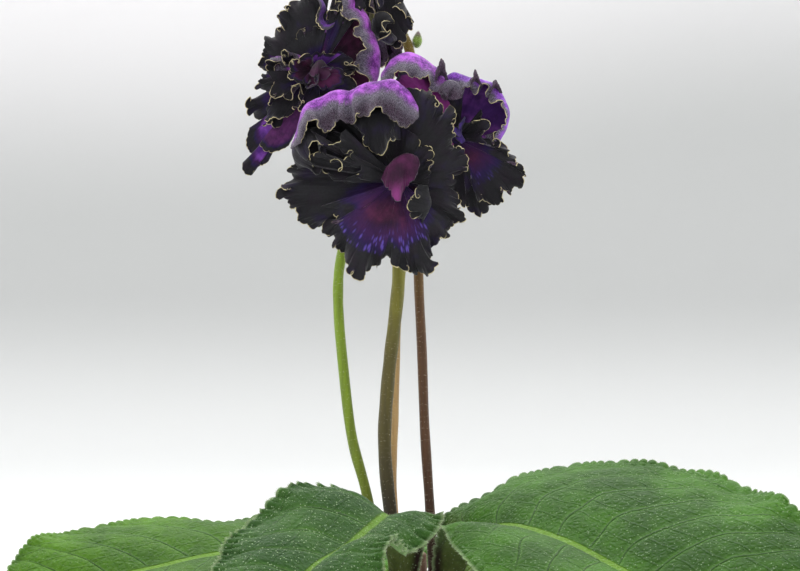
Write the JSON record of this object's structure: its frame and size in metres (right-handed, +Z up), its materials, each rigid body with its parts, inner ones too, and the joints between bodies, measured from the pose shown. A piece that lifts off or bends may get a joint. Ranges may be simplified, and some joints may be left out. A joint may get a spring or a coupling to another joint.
{
  "type": "potted cape primrose",
  "caption": "Cape primrose in a plain round pot, with broad quilted leaves and ruffled, near-black double flowers on slender upright stalks.",
  "frame": {"origin": "centre of the pot's flat underside", "axes": "+Z up, out of the pot; -Y towards the plant's best side, as in the picture; +X to that view's right"},
  "size_m": [0.2618, 0.2418, 0.3044],
  "materials": {
    "pot_plastic": "matte",
    "potting_mix": "matte",
    "crown": "matte",
    "leaf": "matte",
    "stalk": "matte",
    "tube": "matte",
    "petal": "matte"
  },
  "bodies": {
    "root": {"bud": "stalk", "calyx_a": "stalk", "calyx_b": "stalk", "calyx_c": "stalk", "calyx_d": "stalk", "corolla_tube_a": "tube", "corolla_tube_b": "tube", "corolla_tube_c": "tube", "corolla_tube_d": "tube", "crown": "crown", "cut_stalk_stub": "stalk", "leaf_back_left": "leaf", "leaf_back_right": "leaf", "leaf_back_small": "leaf", "leaf_front_left": "leaf", "leaf_right": "leaf", "pedicel_a": "stalk", "pedicel_b": "stalk", "pedicel_c": "stalk", "pedicel_d": "stalk", "petal_a_centre": "petal", "petal_a_curl": "petal", "petal_a_hood": "petal", "petal_a_hood_left": "petal", "petal_a_left_fold": "petal", "petal_a_left_inner": "petal", "petal_a_lip": "petal", "petal_a_lower_left": "petal", "petal_a_lower_right": "petal", "petal_a_under_hood": "petal", "petal_a_upper_right": "petal", "petal_b_hood": "petal", "petal_b_left": "petal", "petal_b_lower_right": "petal", "petal_b_right": "petal", "petal_b_right_curl": "petal", "petal_b_underside": "petal", "petal_b_upper_curl": "petal", "petal_b_upper_right": "petal", "petal_c_comb": "petal", "petal_c_left": "petal", "petal_c_lower": "petal", "petal_c_lower_left": "petal", "petal_c_ribbon": "petal", "petal_c_right": "petal", "petal_c_tail": "petal", "petal_c_upper_left": "petal", "petal_c_upper_right": "petal", "petal_d_back_left": "petal", "petal_d_back_right": "petal", "petal_d_front_left": "petal", "petal_d_front_right": "petal", "petal_d_left": "petal", "petal_d_right": "petal", "pot": "pot_plastic", "potting_mix": "potting_mix", "stalk_back": "stalk", "stalk_left": "stalk", "stalk_middle": "stalk", "stalk_right": "stalk"}
  },
  "joints": []
}
